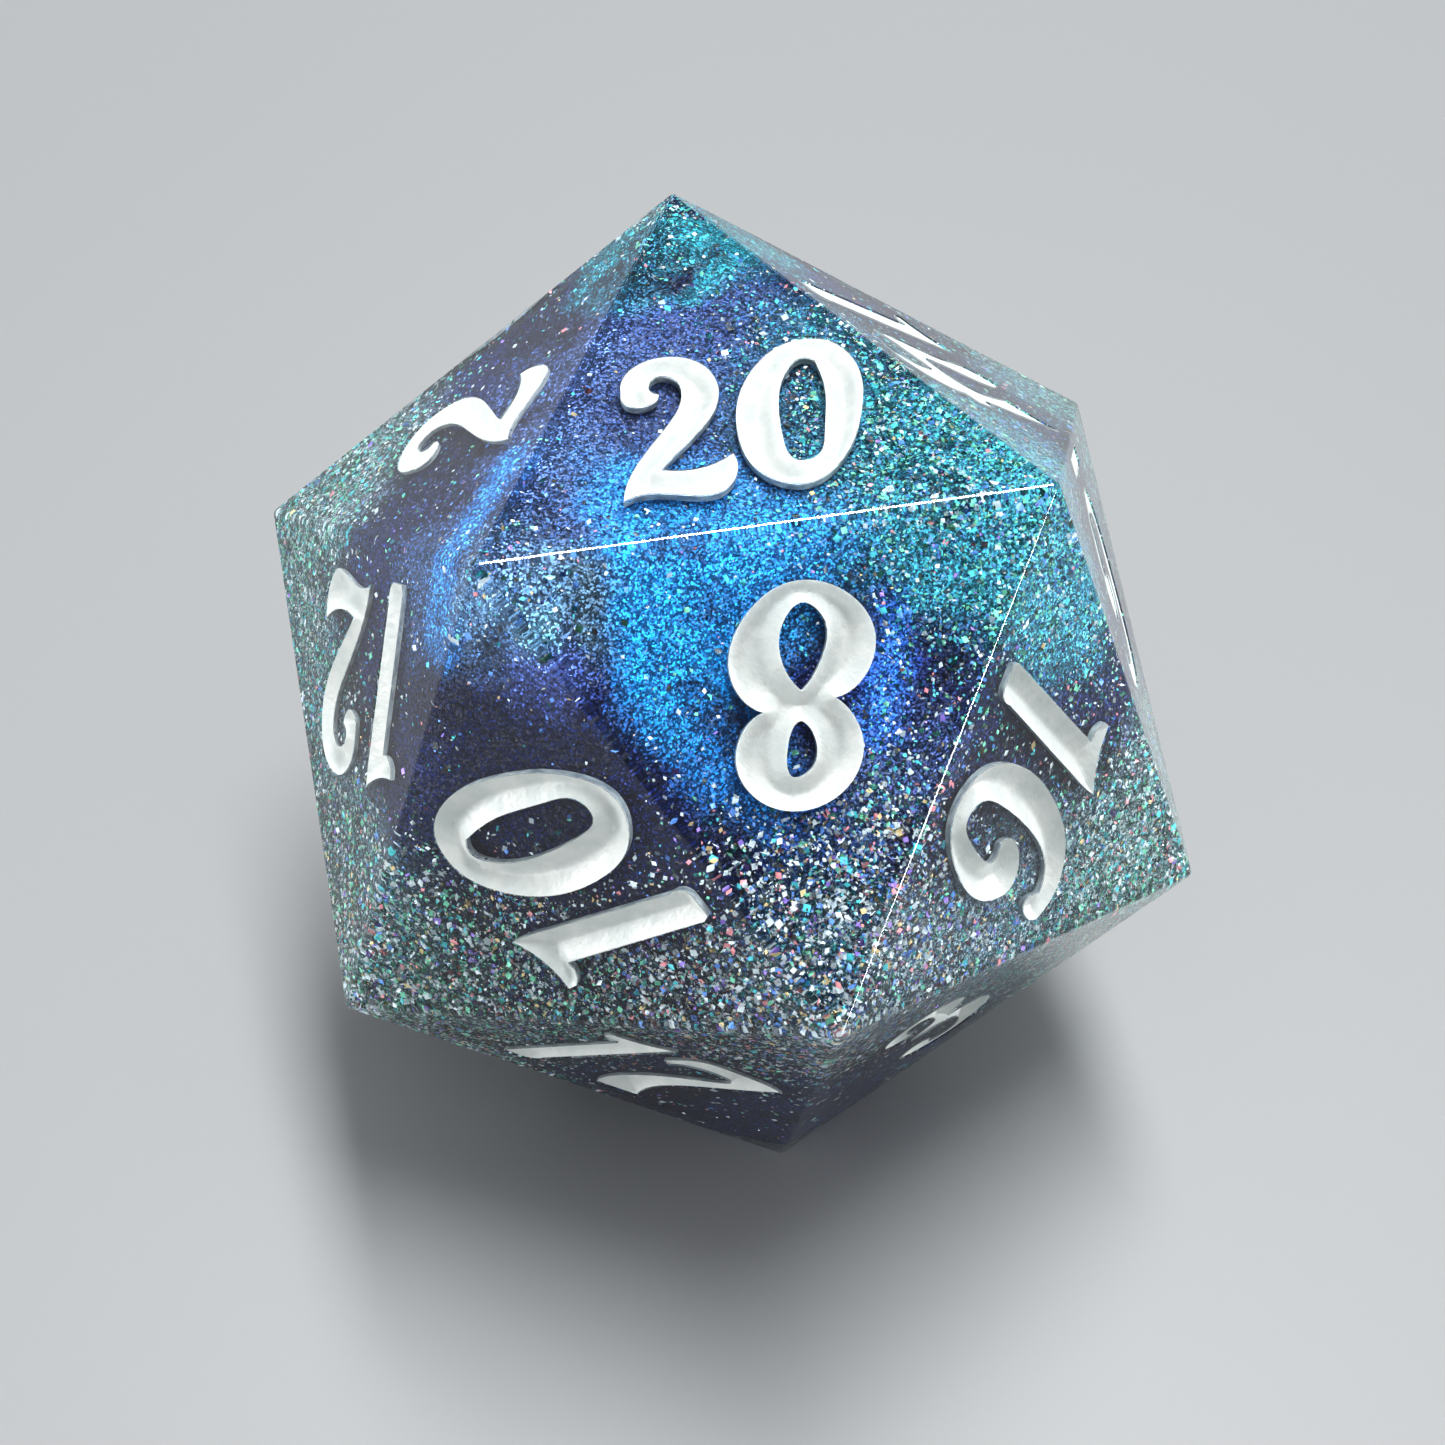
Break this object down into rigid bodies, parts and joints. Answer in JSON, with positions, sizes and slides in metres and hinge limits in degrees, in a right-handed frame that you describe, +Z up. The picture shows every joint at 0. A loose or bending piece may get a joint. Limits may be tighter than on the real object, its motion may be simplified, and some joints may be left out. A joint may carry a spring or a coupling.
{
  "type": "polyhedral die",
  "caption": "Icosahedral die with sharp edges, cast in clear resin round a dark mica-and-glitter core, with white painted numbers sunk in its faces.",
  "frame": {"origin": "on the table under the die's centre, at the middle of the face it rests on, which is the 1 face", "axes": "+Z up, out of the 20 face; -Y is towards the front, where the edge between the 20 and the 8 runs along X; +X is to the right of that view"},
  "size_m": [0.0224, 0.0258, 0.021],
  "materials": {
    "clear_resin": "polished",
    "dark_pigment": "gloss",
    "blue_mica": "gloss",
    "teal_mica": "gloss",
    "holographic_glitter": "polished",
    "white_paint": "satin"
  },
  "bodies": {
    "root": {"resin_block": "clear_resin", "pigment_core": "dark_pigment", "blue_mica_plume": "blue_mica", "teal_mica_plume": "teal_mica", "glitter_flakes": "holographic_glitter", "numeral_01": "white_paint", "numeral_02": "white_paint", "numeral_03": "white_paint", "numeral_04": "white_paint", "numeral_05": "white_paint", "numeral_06": "white_paint", "numeral_07": "white_paint", "numeral_08": "white_paint", "numeral_09": "white_paint", "numeral_10": "white_paint", "numeral_11": "white_paint", "numeral_12": "white_paint", "numeral_13": "white_paint", "numeral_14": "white_paint", "numeral_15": "white_paint", "numeral_16": "white_paint", "numeral_17": "white_paint", "numeral_18": "white_paint", "numeral_19": "white_paint", "numeral_20": "white_paint"}
  },
  "joints": []
}
